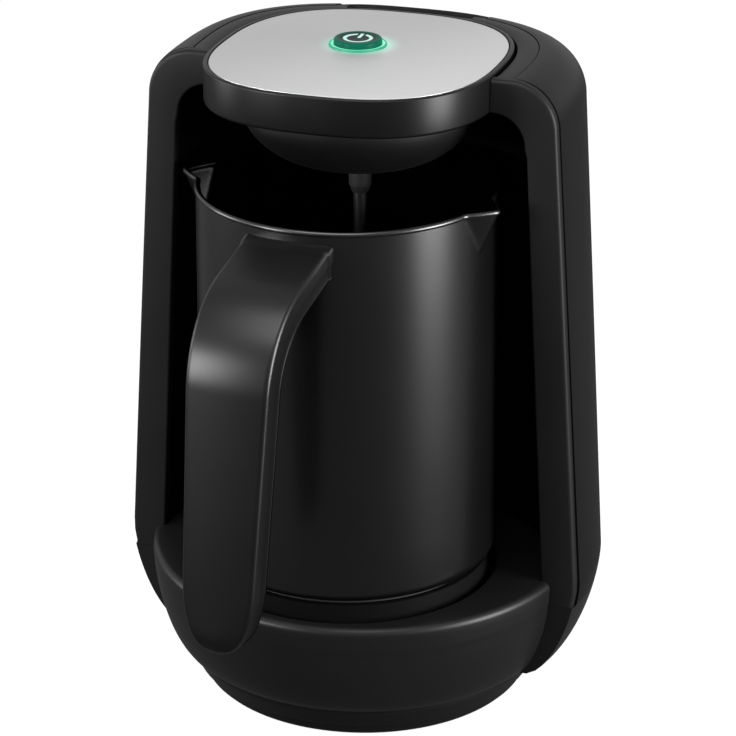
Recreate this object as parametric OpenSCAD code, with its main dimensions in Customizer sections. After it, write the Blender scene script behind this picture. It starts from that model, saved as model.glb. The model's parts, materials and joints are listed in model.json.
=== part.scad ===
/* [Body] */
// Height of the machine above the table
machine_h = 205; // [190:1:230]
// Width of the body beside the pot, at the body's widest
cheek_low = 29; // [26:0.5:36]
// Widest half depth of the body
belly_b = 68; // [64:0.5:76]
// Height of the widest section
belly_z = 44; // [40:1:52]
// Width of the body beside the pot, at the shoulders
cheek_top = 19.4; // [18:0.1:26]
// Half depth where the shoulders start
shoulder_b = 62; // [60:0.5:68]
// Height of the rounded shoulders
shoulder_h = 16; // [12:0.5:20]
// Width of the rounded shoulders, seen from above
shoulder_w = 14; // [12:0.5:15]
// Squareness of the plan at the top, where 2 is an ellipse
top_squareness = 2.6; // [2.2:0.1:3]
// Squareness of the plan at the belly
belly_squareness = 2.15; // [2:0.05:2.6]
// Wall thickness of the housings
wall = 2.4; // [2:0.1:3]
// Distance of the front face from the body's axis
face_y = 16; // [12:1:20]
// Width of the front face beside the opening
face_w = 9.7; // [8:0.1:12]
// Thickness of the front face
face_t = 3; // [2:0.2:4]
// Corner radius of the bay opening
bay_corner = 10; // [6:0.5:14]
// Height of the seam between the body and the base
seam_z = 37; // [34:0.5:39]
// Width of the visible seams
seam_gap = 0.3; // [0.2:0.05:0.6]

/* [Base] */
// Radius of the foot where it meets the table
foot_r = 52; // [50:0.5:54]
// Radius of the base at the groove above the foot
groove_r = 57.8; // [56:0.2:60]
// Height of the groove above the foot
groove_z = 12; // [10:0.2:14]
// Radius of the round bowl at its rim
bowl_r = 67.4; // [66:0.2:70]
// Height of the bowl's rim
bowl_z = 45; // [43:0.5:50]
// Roundness of the bowl's side, where 1 is a straight cone
bowl_round = 1.65; // [1.2:0.05:2.2]
// Roundness of the body's lower side behind the bowl
body_round = 1.85; // [1.4:0.05:2.4]
// Step from the bowl's lower edge out to the body behind it
body_step = 0.6; // [0.4:0.1:2]
// Depth of the well that the pot stands in
well_depth = 8; // [5:0.5:10]
// Thickness of the rubber pads
pad_t = 2.5; // [2:0.1:4]
// Radius of the rubber pads
pad_r = 5; // [4:0.5:7]
// How far the pads stand out of the foot
pad_proud = 0.8; // [0.5:0.1:1.5]

/* [Head] */
// Distance of the head's centre in front of the body's axis
head_y = 4.5; // [2:0.5:8]
// Half width of the metal top plate
plate_a = 42.2; // [40:0.2:44]
// Half depth of the metal top plate
plate_b = 45; // [42:0.2:46]
// Thickness of the metal top plate
plate_t = 1.2; // [0.8:0.1:2]
// Height of the band round the head
band_h = 11.6; // [10:0.2:14]
// Width of the band's top edge outside the plate
band_edge = 1.6; // [1.2:0.1:2.2]
// Gap between the head and the deck
head_gap = 0.8; // [0.6:0.1:1.5]
// Drop of the deck below the head's top
deck_drop = 1; // [0.5:0.1:2]
// Radius of the dome under the head
dome_r = 36.5; // [32:0.5:38]
// Radius of the flat end of the dome
dome_flat_r = 13; // [9:0.5:18]
// Height of the dome
dome_h = 20; // [16:0.5:22]
// Radius of the sensor's sleeve
sleeve_r = 3.45; // [3:0.05:4.5]
// Length of the sleeve below the dome
sleeve_len = 9; // [6:0.5:12]
// Radius of the sensor rod
rod_r = 2.1; // [1.6:0.1:2.6]
// Length of the rod below the sleeve
rod_len = 54; // [40:1:60]

/* [Hinge] */
// Distance of the hinge axis behind the body's axis
hinge_y = 47.5; // [46:0.5:50]
// Depth of the hinge axis below the head's top
hinge_drop = 6; // [5.5:0.1:7]
// Radius of the hinge pin
pin_r = 1.5; // [1.2:0.1:2]
// Radius of the hinge knuckle
knuckle_r = 3.6; // [3.2:0.1:4]
// Half width of the knuckle on the head
knuckle_half = 20; // [14:0.5:24]
// Thickness of the ears that hold the pin
ear_t = 4; // [3:0.5:6]
// Gap between the knuckle and each ear
ear_gap = 0.5; // [0.3:0.1:1]
// Running clearance of the pin in the knuckle
pin_clearance = 0.05; // [0.02:0.01:0.1]

/* [Button] */
// Radius of the power button
button_r = 7.3; // [6:0.1:9]
// Distance of the button behind the head's centre
button_y = 7; // [0:0.5:10]
// Distance of the button to the left of the head's centre
button_x = 3; // [0:0.5:4]
// How far the button stands above the plate
button_proud = 2.2; // [1.5:0.1:3]
// Travel of the button
button_travel = 1; // [0.6:0.1:1.5]
// Width of the light ring round the button
ring_w = 1.1; // [0.8:0.1:1.6]
// How far the light ring stands above the plate
ring_proud = 0.5; // [0.2:0.1:1]

/* [Pot] */
// Distance of the pot's axis in front of the body's axis
pot_y = 16.6; // [14:0.2:18]
// Outer radius of the pot at its rim
pot_top_r = 45.1; // [42:0.1:46]
// Outer radius of the pot at its bottom
pot_bottom_r = 46; // [43:0.1:46.5]
// Thickness of the pot's steel
pot_wall = 1; // [0.8:0.1:1.4]
// Height of the pot's rim above the table
pot_rim_z = 167.7; // [160:0.1:168.5]
// Height of the pot's steel bottom edge above the table
pot_bottom_z = 50.5; // [50:0.1:54]
// Rounding of the pot's bottom edge
pot_bottom_round = 4; // [2:0.5:6]
// Radius of the rolled rim
rim_r = 0.9; // [0.7:0.1:1.2]
// Reach of each spout past the rim
spout_reach = 6; // [3:0.1:7]
// Half width of each spout at the rim
spout_w = 9; // [8:0.5:12]
// Angle of each spout towards the handle, from square
spout_lean = 8; // [0:1:12]
// Height of each spout
spout_h = 15; // [10:0.5:20]
// Turn of the pot about its own axis
pot_turn = -4; // [-6:0.5:6]
// Step from the pot's side in to its plastic base
base_step = 2; // [1.4:0.1:4]
// Gap round the pot's base in the well
well_gap = 2.4; // [1.5:0.1:3]
// Gap behind the pot in the bay
pot_room = 4.1; // [3:0.1:8]

/* [Handle] */
// Distance of the handle's bend centre from the pot's axis
bend_d = 56.1; // [54:0.5:62]
// Height of the handle's bend centre
bend_z = 129.2; // [124:0.5:134]
// Outer radius of the handle's bend
bend_r = 32; // [28:0.5:34]
// Thickness of the handle from front to back
handle_t = 10; // [8:0.5:12]
// Slope of the handle's top, in degrees
handle_slope = 14; // [8:1:20]
// Lean of the handle's grip, in degrees
grip_lean = 8.3; // [0:0.1:12]
// Height of the grip's lower end
grip_end_z = 60; // [54:1:80]
// Width of the handle where it meets the pot
handle_top_w = 28; // [24:0.5:32]
// Width of the grip near its lower end
handle_low_w = 22; // [18:0.5:26]
// Share of the handle's thickness that the front shell takes
handle_split = 0.55; // [0.4:0.05:0.7]

/* [Hidden] */

$fn = 96;
ring_points = 72;
shoulder_steps = 7;
bowl_steps = 8;
tiny = 0.01;
over = 1;
far = 400;
fit_gap = 0.3;

// Half widths of the body
belly_a = pot_bottom_r + cheek_low;
shoulder_a = pot_top_r + cheek_top;

// Derived heights
deck_z = machine_h - deck_drop;
shoulder_z = machine_h - shoulder_h;
band_z = machine_h - band_h;
hinge_z = machine_h - hinge_drop;
well_z = bowl_z - well_depth;
deck_t = 3;
deck_n = top_squareness;
deck_a = shoulder_a - shoulder_w;
deck_b = shoulder_b - shoulder_w;

// Derived plan sizes of the head
band_a = plate_a + band_edge;
band_b = plate_b + band_edge;
plate_gap = 0.4;
head_hole_a = band_a + head_gap;
head_hole_b = band_b + head_gap;

// The bay: its half width follows the body, and its back is a half superellipse
bay_top_a = section_x(shoulder_z, 0) - face_w;
bay_low_a = section_x(seam_z, 0) - face_w;
bay_back = face_y - pot_y + max(pot_top_r + rim_r, pot_bottom_r) + pot_room;
bay_t = 2;
bay_n = 2.6;
bay_top_z = band_z + 0.4;
collar_t = 1.5;
collar_z = band_z - head_gap;
lip = 0.8;

// Hinge
ear_x = knuckle_half + ear_gap;
ear_r = knuckle_r + 0.6;
arm_root = 3;
bar_t = 2.2;
bar_top = hinge_z - knuckle_r - ear_gap;
swing_gap = 1.3;
pin_half = ear_x + ear_t;

// Button and its switch
stem_r = 1.6;
board_t = 1.6;
board_lift = 1.4;
board_z = band_z + wall + board_lift;
board_top = board_z + board_t;
stem_gap = 0.6;
stem_z = board_top + button_travel + stem_gap;
cap_t = 1.6;
cap_z = machine_h - cap_t;
switch_side = 6.2;
switch_h = 3;
board_a = 20;
board_b = 26;
post_r = 2;
post_in = 4;
guide_gap = 0.25;
ring_in = button_r + guide_gap;
ring_out = ring_in + ring_w;
ring_flange = 2;
ring_depth = 1.4;
ring_post = 1.6;
buzzer_r = 5;
buzzer_h = 2.6;
buzzer_hole_r = 1;
buzzer_y = -18;

// Dome and sensor
dome_top_z = band_z - 0.6;
dome_low_z = dome_top_z - dome_h;
dome_wall = 2;
dome_neck_r = dome_r - 1.6;
dome_mouth_r = dome_neck_r - 2.4;
dome_boss_r = 3.2;
dome_boss_h = 7;
lid_screw_ring = dome_mouth_r - 2.5;
lid_screw_len = 5;
head_wire_r = sleeve_r + 1.5;
sleeve_taper = 2.4;
sleeve_top = 6;
sleeve_flange = 2;
rod_top = 4;
rod_tip_z = dome_low_z - sleeve_len - sleeve_taper - rod_len;

// Pot and the base under it
pot_base_r = pot_bottom_r - base_step;
well_r = pot_base_r + well_gap;
spout_over = 0.6;
pot_base_skirt = 4;
pot_foot_z = well_z;
connector_r = 11.5;
connector_h = 7;
socket_r = connector_r + 1;
socket_wall = 2;
connector_flange = 3;
contact_pin_r = 1.6;
contact_in = 3.4;
contact_w = 1;
contact_gap = 1;
contact_drop = 1.2;
heater_t = 3.2;
heater_r = pot_base_r - 7;
thermostat_r = 7;
thermostat_h = 3;
thermostat_x = (heater_r + socket_r) / 2;
pot_base_wall = 2;
seal_t = 1;

// Handle
liner_floor = 1.4;
bracket_t = 1.6;
bracket_h = 7;
bracket_w = 18;
strap_under_z = strap_low(pot_top_r + bracket_t);
bracket_z = strap_under_z + liner_floor;
tongue_z = bracket_z + 0.9;
tongue_h = 4;
tongue_len = 8;
handle_gap = 0.2;
grip_round = 9;
strap_top_len = 26;
screw_r = 1.5;
screw_head_h = 1.2;
handle_screw_x = 5;
handle_screw_in = 2;
liner_inset = 0.8;

// Base
plate_floor_t = 2.4;
plate_floor_z = pad_proud + plate_floor_t;
foot_soft = 1;
foot_step = 1.5;
plate_edge = 0.8;
rim_soft = 2.2;
pad_count = 4;
boss_r = 3.6;
boss_ring = foot_r - wall - boss_r - 3;
pad_ring = boss_ring;
boss_turn = 45;
screw_gap = 0.3;
base_screw_len = 9;
gland_z = 24;
gland_r = 5;
gland_hole_r = 3.4;
gland_out = 2.4;
gland_flange = 1.6;
gland_boss_r = gland_r + gland_flange + 1;
gland_seat = body_b(gland_z);
gland_in = gland_seat - 8;

// Electronics in the base
board_x = 24;
board_back = 47;
board_front = -18;
power_board_z = 13;
power_top = power_board_z + board_t;
transformer_w = 20;
transformer_d = 17;
transformer_h = 15;
transformer_x = -18;
transformer_y = 14;
relay_w = 15;
relay_d = 12;
relay_h = 12;
relay_x = 6;
relay_y = 15;
capacitor_r = 5;
capacitor_h = 13;
capacitor_x = 14;
capacitor_y = -8;
loom_x = 12;
loom_y = (body_b(shoulder_z) - wall + bay_back - face_y + bay_t) / 2 - 3;
loom_r = 2.2;
loom_top = band_z - 6;

// The row's origin lies under the middle of the whole, handle included
handle_reach = bend_d + bend_r * cos(grip_lean) + (bend_z + bend_r * sin(grip_lean) - grip_end_z)
    * tan(grip_lean);
front_reach = pot_y + handle_reach * cos(pot_turn) + handle_low_w / 2 * abs(sin(pot_turn));
frame_y = (front_reach - belly_b) / 2;

// ---------- Shapes shared by several pieces ----------

function mix(a, b, t) = a + (b - a) * t;
function bulge(t, p) = pow(1 - pow(t, p), 1 / p);

// Points of a superellipse
function squircle(a, b, n) = [for (i = [0 : ring_points - 1])
    let (c = cos(360 * i / ring_points), s = sin(360 * i / ring_points))
    [a * sign(c) * pow(abs(c), 2 / n), b * sign(s) * pow(abs(s), 2 / n)]];

// Half width, half depth and squareness of the body at height z
function body_size(z, low, belly, top) =
    z <= belly_z ? mix(low, belly, bulge((belly_z - z) / (belly_z - groove_z), body_round))
    : z <= shoulder_z ? mix(belly, top, (z - belly_z) / (shoulder_z - belly_z))
    : top - shoulder_w * (1 - sqrt(max(0, 1 - pow((z - shoulder_z) / (deck_z - shoulder_z), 2))));
function body_a(z) = body_size(z, groove_r + body_step, belly_a, shoulder_a);
function body_b(z) = body_size(z, groove_r + body_step, belly_b, shoulder_b);
function body_n(z) = z <= belly_z
    ? mix(2, belly_squareness, (z - groove_z) / (belly_z - groove_z))
    : mix(belly_squareness, top_squareness, min(1, (z - belly_z) / (shoulder_z - belly_z)));

// Half width of the body where the front face cuts it
function section_x(z, inset) = (body_a(z) - inset)
    * pow(max(0, 1 - pow(face_y / (body_b(z) - inset), body_n(z))), 1 / body_n(z));

// Heights of the body's rings from z0 upwards, closer together where it curves
function low_levels(z0) = [for (i = [0 : bowl_steps])
    let (z = mix(groove_z, belly_z, pow(i / bowl_steps, 1.5))) if (z > z0 + tiny) z];
shoulder_levels = [for (i = [0 : shoulder_steps])
    mix(shoulder_z, deck_z, sin(90 * i / shoulder_steps))];
function levels(z0) = concat([z0], low_levels(z0), shoulder_levels);

function ring_at(z, inset, drop) = [for (p = squircle(body_a(z) - inset, body_b(z) - inset,
    body_n(z))) [p[0], p[1], z - drop]];

// A closed solid through a stack of rings with equal numbers of points
module loft(rings) {
    k = len(rings[0]);
    m = len(rings);
    sides = [for (j = [0 : m - 2], i = [0 : k - 1]) let (n = (i + 1) % k)
        each [[j * k + i, (j + 1) * k + i, j * k + n], [j * k + n, (j + 1) * k + i, (j + 1) * k + n]]];
    polyhedron(points = [for (r = rings) each r],
        faces = concat([[for (i = [0 : k - 1]) i]], sides,
            [[for (i = [k - 1 : -1 : 0]) (m - 1) * k + i]]));
}

module slab(a, b, n, z0, z1) translate([0, 0, z0]) linear_extrude(z1 - z0) polygon(squircle(a, b, n));

module at_head() translate([0, -head_y, 0]) children();
module at_pot() translate([0, -pot_y, 0]) rotate(pot_turn) children();
module at_hinge() translate([0, hinge_y, hinge_z]) rotate([0, 90, 0]) children();
module spokes(n, r, turn) for (i = [0 : n - 1]) rotate(turn + 360 * i / n) translate([r, 0, 0]) children();
module behind(y) translate([-far / 2, y, -far / 2]) cube([far, far, 2 * far]);
module tube(r_out, r_in, z0, z1) translate([0, 0, z0]) difference() {
    cylinder(r = r_out, h = z1 - z0);
    translate([0, 0, -over]) cylinder(r = r_in, h = z1 - z0 + 2 * over);
}

// ---------- Body ----------

// Everything the bay takes out of the body, grown by a margin
module bay_space(grow, z0, z1) {
    t0 = (z0 - seam_z) / (bay_top_z - seam_z);
    t1 = (z1 - seam_z) / (bay_top_z - seam_z);
    translate([0, -face_y, 0]) loft([for (s = [[z0, t0], [z1, t1]])
        [for (p = squircle(mix(bay_low_a, bay_top_a, s[1]) + grow, bay_back + grow, bay_n))
            [p[0], p[1], s[0]]]]);
}

module hinge_notch(grow) {
    half = pin_half + grow;
    translate([-half, band_b - head_y - over, hinge_z - ear_r - grow])
        cube([2 * half, hinge_y + ear_r + grow - band_b + head_y + over, far]);
}

// The cover, with a lip at its lower edge that stands on the base
module outer_shell() color("#1b1b1d") difference() {
    loft(concat([for (z = [seam_z, seam_z + seam_gap]) ring_at(z, lip, 0)],
        [for (z = levels(seam_z + seam_gap + tiny)) ring_at(z, 0, 0)]));
    translate([0, 0, -over]) loft([for (z = levels(seam_z)) ring_at(z, wall, 0)]);
    slab(deck_a, deck_b, deck_n, deck_z - wall - over, deck_z + over);
    mirror([0, 1, 0]) behind(face_y - face_t);
    hinge_notch(seam_gap);
}

face_steps = 6;
function face_edge() = concat([for (i = [0 : face_steps]) let (z = mix(seam_z + seam_gap, shoulder_z,
    i / face_steps)) [section_x(z, seam_gap), z]],
    [for (z = shoulder_levels) if (z > shoulder_z) [section_x(z, seam_gap), z]]);

// Half of the bay opening's outline, with its round top corner
function corner_arc() = [for (i = [0 : 8]) [bay_top_a - bay_corner + bay_corner * cos(90 * i / 8),
    bay_top_z - bay_corner + bay_corner * sin(90 * i / 8)]];
function both_sides(half) = concat(half, [for (i = [len(half) - 1 : -1 : 0]) [-half[i][0], half[i][1]]]);

module face_outline() polygon(both_sides(face_edge()));
module opening_outline() polygon(both_sides(concat([[bay_low_a, seam_z - over]], corner_arc())));

module front_frame() color("#232326") {
    difference() {
        union() {
            translate([0, -face_y + face_t, 0]) rotate([90, 0, 0]) linear_extrude(face_t)
                difference() {
                    face_outline();
                    opening_outline();
                }
            difference() {
                slab(deck_a - seam_gap, deck_b - seam_gap, deck_n, deck_z - deck_t, deck_z);
                mirror([0, 1, 0]) behind(face_y - face_t);
            }
            hinge_ears();
        }
        at_head() slab(head_hole_a, head_hole_b, deck_n, band_z - far, deck_z + over);
        at_head() translate([0, swing_gap, 0]) slab(head_hole_a, head_hole_b, deck_n,
            deck_z - deck_t - over, deck_z + over);
        translate([-ear_x, band_b - head_y - 2 * arm_root, bar_top]) cube([2 * ear_x, deck_b, far]);
        translate([-far / 2, 0, 0]) at_hinge() cylinder(r = pin_r, h = far);
    }
}

// The ears that hold the hinge pin below the deck, and the bar that joins them
module hinge_ears() translate([-pin_half, hinge_y - ear_r, bar_top - bar_t])
    cube([2 * pin_half, 2 * ear_r, deck_z - bar_top + bar_t]);

// The lining of the bay, with a ceiling and a collar that the head sinks into
module bay_liner() color("#161617") difference() {
    union() {
        difference() {
            bay_space(bay_t, seam_z, bay_top_z + bay_t);
            bay_space(0, seam_z - over, bay_top_z);
        }
        difference() {
            at_head() slab(head_hole_a + collar_t, head_hole_b + collar_t, deck_n, collar_z - collar_t,
                deck_z - deck_t);
            bay_space(0, seam_z, bay_top_z);
            hinge_gap();
        }
    }
    at_head() slab(head_hole_a, head_hole_b, deck_n, collar_z, deck_z);
    mirror([0, 1, 0]) behind(face_y - face_t);
}

// Room for the knuckle and the ears behind the head
module hinge_gap() translate([-pin_half - fit_gap, band_b - head_y - 2 * arm_root, bar_top - bar_t - fit_gap])
    cube([2 * (pin_half + fit_gap), deck_b, far]);

module hinge_pin() color("silver") translate([-pin_half, 0, 0]) at_hinge()
    cylinder(r = pin_r, h = 2 * pin_half);

// ---------- Base ----------

// Outline of the round bowl: a bulging side and a soft edge at the rim
function bowl_side(inset) = [for (i = [0 : 12]) let (z = mix(groove_z, bowl_z - rim_soft, i / 12),
    t = (bowl_z - rim_soft - z) / (bowl_z - rim_soft - groove_z))
    [mix(groove_r, bowl_r, bulge(t, bowl_round)) - inset, z]];
function rim_arc(inset) = [for (i = [1 : 5]) [bowl_r - rim_soft + rim_soft * cos(18 * i) - inset,
    bowl_z - rim_soft + rim_soft * sin(18 * i)]];

module bowl(inset, lift) rotate_extrude() polygon(concat([[0, groove_z]], bowl_side(inset),
    [for (p = rim_arc(inset)) [p[0], p[1] - lift]], [[0, bowl_z - lift]]));

module base_housing() color("#1d1d1f") difference() {
    union() {
        difference() {
            base_block();
            base_hollow();
            wing_clearance();
            at_pot() translate([0, 0, well_z]) cylinder(r = well_r, h = far);
        }
        spokes(pad_count, boss_ring, boss_turn) translate([0, 0, plate_floor_z])
            cylinder(r = boss_r, h = well_z - wall / 2 - plate_floor_z);
    }
    at_pot() translate([0, 0, well_z - 2 * wall]) cylinder(r = connector_r, h = far);
    at_gland() cylinder(r = gland_r, h = far);
    translate([loom_x, loom_y, well_z - 2 * wall]) cylinder(r = loom_r + fit_gap, h = far);
    spokes(pad_count, boss_ring, boss_turn) cylinder(r = screw_r, h = pad_proud + screw_head_h
        + base_screw_len + fit_gap);
}

// The round bowl in front and the body's lower part behind the front face
module base_block() {
    bowl(0, 0);
    difference() {
        loft([for (z = concat([groove_z], low_levels(groove_z), [seam_z])) if (z <= seam_z)
            ring_at(z, 0, 0)]);
        mirror([0, 1, 0]) behind(face_y);
    }
}

module at_gland() translate([0, 0, gland_z]) rotate([-90, 0, 0]) children();

// The body's wings and liner stand on the base here
module wing_clearance() difference() {
    translate([-far / 2, -face_y - seam_gap, seam_z]) cube([far, far, far]);
    bay_space(-seam_gap, seam_z - over, bowl_z + over);
}

// Hollow under the well and inside the bowl's wall
module base_hollow() difference() {
    union() {
        translate([0, 0, -tiny]) bowl(wall, 2 * wall);
        intersection() {
            loft([for (z = concat([groove_z - tiny], low_levels(groove_z)))
                if (z < seam_z - wall) ring_at(max(z, groove_z), wall, z < groove_z ? tiny : 0)]);
            translate([-far / 2, -face_y + wall, 0]) cube([far, far, far]);
        }
    }
    translate([-far / 2, -far / 2, well_z - wall]) cube([far, far, far]);
    at_gland() translate([0, 0, gland_in]) cylinder(r = gland_boss_r, h = far);
}

// The foot dish, with a low lip round it and posts for the board
module base_plate() color("#18181a") difference() {
    union() {
        rotate_extrude() polygon([[0, pad_proud], [foot_r - foot_soft, pad_proud],
            [foot_r, pad_proud + foot_soft], [foot_r + foot_soft, groove_z * 0.36],
            [foot_r + foot_soft + foot_step, groove_z * 0.46],
            [groove_r - plate_edge, groove_z - 2 * plate_edge], [groove_r - plate_edge, groove_z],
            [groove_r - plate_edge - wall, groove_z], [foot_r - wall, plate_floor_z],
            [0, plate_floor_z]]);
        for (x = [-1, 1], y = [board_front + post_in, board_back - post_in])
            translate([x * (board_x - post_in), y, plate_floor_z - tiny])
                cylinder(r = 2 * screw_r, h = power_board_z - plate_floor_z + tiny);
    }
    spokes(pad_count, pad_ring, 0) translate([0, 0, -over])
        cylinder(r = pad_r, h = over + pad_t);
    spokes(pad_count, boss_ring, boss_turn) translate([0, 0, -over])
        cylinder(r = screw_r + screw_gap, h = far);
    spokes(pad_count, boss_ring, boss_turn) translate([0, 0, -over])
        cylinder(r = 2 * screw_r + screw_gap, h = over + pad_proud + screw_head_h);
}

module rubber_pads() color("#2a2a2a") spokes(pad_count, pad_ring, 0)
    cylinder(r = pad_r, h = pad_t);

module base_screws() color("silver") spokes(pad_count, boss_ring, boss_turn) {
    translate([0, 0, pad_proud]) cylinder(r = 2 * screw_r, h = screw_head_h);
    translate([0, 0, pad_proud]) cylinder(r = screw_r, h = screw_head_h + base_screw_len);
}

module cord_gland() color("#101010") at_gland() difference() {
    union() {
        translate([0, 0, gland_in - gland_flange]) cylinder(r = gland_r + gland_flange, h = gland_flange);
        translate([0, 0, gland_in - tiny]) cylinder(r = gland_r, h = gland_seat - gland_in + gland_out);
    }
    cylinder(r = gland_hole_r, h = far);
}

module base_connector() color("#202022") at_pot() difference() {
    union() {
        translate([0, 0, well_z - wall - connector_flange])
            cylinder(r = connector_r + connector_flange, h = connector_flange);
        translate([0, 0, well_z - wall - tiny]) cylinder(r = connector_r, h = connector_h + wall + tiny);
    }
    translate([0, 0, well_z]) cylinder(r = contact_pin_r + contact_gap, h = far);
    difference() {
        translate([0, 0, well_z + 2 * contact_w])
            cylinder(r = connector_r - contact_in + contact_gap / 2, h = far);
        cylinder(r = connector_r - contact_in - contact_w - contact_gap, h = far);
    }
}

module connector_contacts() color("gold") at_pot() {
    translate([0, 0, well_z]) cylinder(r = contact_pin_r, h = connector_h - contact_drop);
    tube(connector_r - contact_in, connector_r - contact_in - contact_w, well_z + 2 * contact_w,
        well_z + connector_h - contact_drop);
}

module power_board() color("darkgreen") translate([-board_x, board_front, power_board_z])
    cube([2 * board_x, board_back - board_front, board_t]);

module transformer() color("goldenrod") translate([transformer_x, transformer_y, power_top])
    cube([transformer_w, transformer_d, transformer_h]);

module heater_relay() color("royalblue") translate([relay_x, relay_y, power_top])
    cube([relay_w, relay_d, relay_h]);

module filter_capacitor() color("steelblue") translate([capacitor_x, capacitor_y, power_top])
    cylinder(r = capacitor_r, h = capacitor_h);

module wiring_loom() color("dimgray") translate([loom_x, loom_y, power_top])
    cylinder(r = loom_r, h = loom_top - power_top);

// ---------- Head ----------

// The head's cup: the band, a floor with posts for the board, and the knuckle
module lid_shell() color("#242427") difference() {
    union() {
        difference() {
            union() {
                at_head() slab(band_a, band_b, deck_n, band_z, machine_h);
                knuckle();
            }
            at_head() slab(plate_a + plate_gap, plate_b + plate_gap, deck_n, machine_h - plate_t,
                machine_h + over);
            at_head() slab(plate_a - wall + plate_gap, plate_b - wall + plate_gap, deck_n, band_z + wall,
                machine_h + over);
        }
        at_head() for (x = [-1, 1], y = [-1, 1])
            translate([x * (board_a - post_in), y * (board_b - post_in), band_z + wall - tiny])
                cylinder(r = post_r, h = board_lift + tiny);
    }
    at_head() translate([0, 0, band_z - over]) cylinder(r = head_wire_r, h = far);
    translate([-far / 2, 0, 0]) at_hinge() cylinder(r = pin_r + pin_clearance, h = far);
    at_head() spokes(3, lid_screw_ring, 90) translate([0, 0, band_z - over])
        cylinder(r = screw_r + screw_gap, h = wall + 2 * over);
}

// The knuckle that turns on the pin, and the arm that carries it
module knuckle() {
    translate([-knuckle_half, 0, 0]) at_hinge() cylinder(r = knuckle_r, h = 2 * knuckle_half);
    translate([-knuckle_half, band_b - head_y - 2 * arm_root, hinge_z - knuckle_r])
        cube([2 * knuckle_half, hinge_y - band_b + head_y + 2 * arm_root, 2 * knuckle_r]);
}

module top_plate() color("#c9cacb") at_head() difference() {
    slab(plate_a, plate_b, deck_n, machine_h - plate_t, machine_h);
    at_button() translate([0, 0, machine_h - far / 2]) cylinder(r = ring_out, h = far);
}

module at_button() translate([-button_x, button_y, 0]) children();

// Outline of the dome: an elliptic side down to a flat end
function dome_side(inset) = [for (i = [0 : 16]) let (a = 90 * i / 16)
    [dome_flat_r + (dome_r - dome_flat_r) * cos(a) - inset * cos(a),
        dome_top_z - (dome_h - inset) * sin(a)]];

module lid_dome() color("#1e1e20") at_head() difference() {
    union() {
        rotate_extrude() polygon(concat([[0, dome_top_z]], dome_side(0), [[0, dome_low_z]]));
        translate([0, 0, dome_top_z - tiny]) cylinder(r = dome_neck_r, h = band_z - dome_top_z + tiny);
    }
    difference() {
        union() {
            rotate_extrude() polygon(concat([[0, dome_top_z]], dome_side(dome_wall),
                [[0, dome_low_z + dome_wall]]));
            translate([0, 0, dome_top_z - over]) cylinder(r = dome_mouth_r, h = far);
        }
        spokes(3, lid_screw_ring, 90) translate([0, 0, band_z - dome_boss_h])
            cylinder(r = dome_boss_r, h = far);
    }
    spokes(3, lid_screw_ring, 90) translate([0, 0, band_z - lid_screw_len]) cylinder(r = screw_r, h = far);
    translate([0, 0, dome_low_z - over]) cylinder(r = sleeve_r, h = far);
}

module probe_sleeve() color("#3a3a3c") at_head() difference() {
    union() {
        translate([0, 0, dome_low_z - sleeve_len])
            cylinder(r = sleeve_r, h = sleeve_len + dome_wall + sleeve_top);
        translate([0, 0, dome_low_z - sleeve_len - sleeve_taper])
            cylinder(r1 = rod_r + plate_gap, r2 = sleeve_r, h = sleeve_taper);
        translate([0, 0, dome_low_z + dome_wall]) cylinder(r = sleeve_r + sleeve_flange, h = sleeve_flange);
    }
    translate([0, 0, dome_low_z - far / 2]) cylinder(r = rod_r, h = far);
}

module probe_rod() color("#9a9a9c") at_head() {
    translate([0, 0, rod_tip_z + rod_r]) cylinder(r = rod_r, h = band_z - rod_tip_z - rod_r - rod_top);
    translate([0, 0, rod_tip_z + rod_r]) sphere(r = rod_r);
}

module probe_seal() color("#50504e") at_head()
    tube(sleeve_r + sleeve_flange, sleeve_r, dome_low_z + dome_wall + sleeve_flange,
        dome_low_z + dome_wall + 2 * sleeve_flange);

module light_ring() color("mediumspringgreen") at_head() at_button() {
    low = machine_h - plate_t - ring_depth;
    tube(ring_out, ring_in, low, machine_h + ring_proud);
    tube(ring_out + ring_flange, ring_in, low, machine_h - plate_t);
    for (s = [-1, 1]) translate([s * (ring_out + ring_flange / 2) - ring_post / 2, -ring_post / 2, board_top])
        cube([ring_post, ring_post, low - board_top + tiny]);
}

module power_button() color("#0d3b30") at_head() at_button() {
    translate([0, 0, cap_z]) cylinder(r = button_r, h = machine_h + button_proud - cap_z);
    translate([0, 0, stem_z]) cylinder(r = stem_r, h = cap_z - stem_z);
}

module button_switch() color("#303030") at_head() at_button() difference() {
    translate([-switch_side / 2, -switch_side / 2, board_top])
        cube([switch_side, switch_side, switch_h]);
    translate([0, 0, stem_z - button_travel - fit_gap]) cylinder(r = stem_r + fit_gap, h = far);
}

module control_board() color("darkgreen") at_head() translate([-board_a, -board_b, board_z])
    cube([2 * board_a, 2 * board_b, board_t]);

module buzzer() color("black") at_head() translate([0, buzzer_y, board_top]) difference() {
    cylinder(r = buzzer_r, h = buzzer_h);
    translate([0, 0, buzzer_h / 2]) cylinder(r = buzzer_hole_r, h = far);
}

module lid_screws() color("silver") at_head() spokes(3, lid_screw_ring, 90) {
    translate([0, 0, band_z + wall]) cylinder(r = 2 * screw_r, h = screw_head_h);
    translate([0, 0, band_z - lid_screw_len]) cylinder(r = screw_r, h = wall + lid_screw_len + tiny);
}

// ---------- Pot ----------

pot_in = pot_top_r - pot_wall;
function pot_line(inset, z0) = concat(
    [for (i = [0 : 5]) let (r = pot_bottom_round - inset) [pot_bottom_r - pot_bottom_round
        + r * sin(18 * i), z0 + r * (1 - cos(18 * i))]], [[pot_top_r - inset, pot_rim_z]]);

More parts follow.
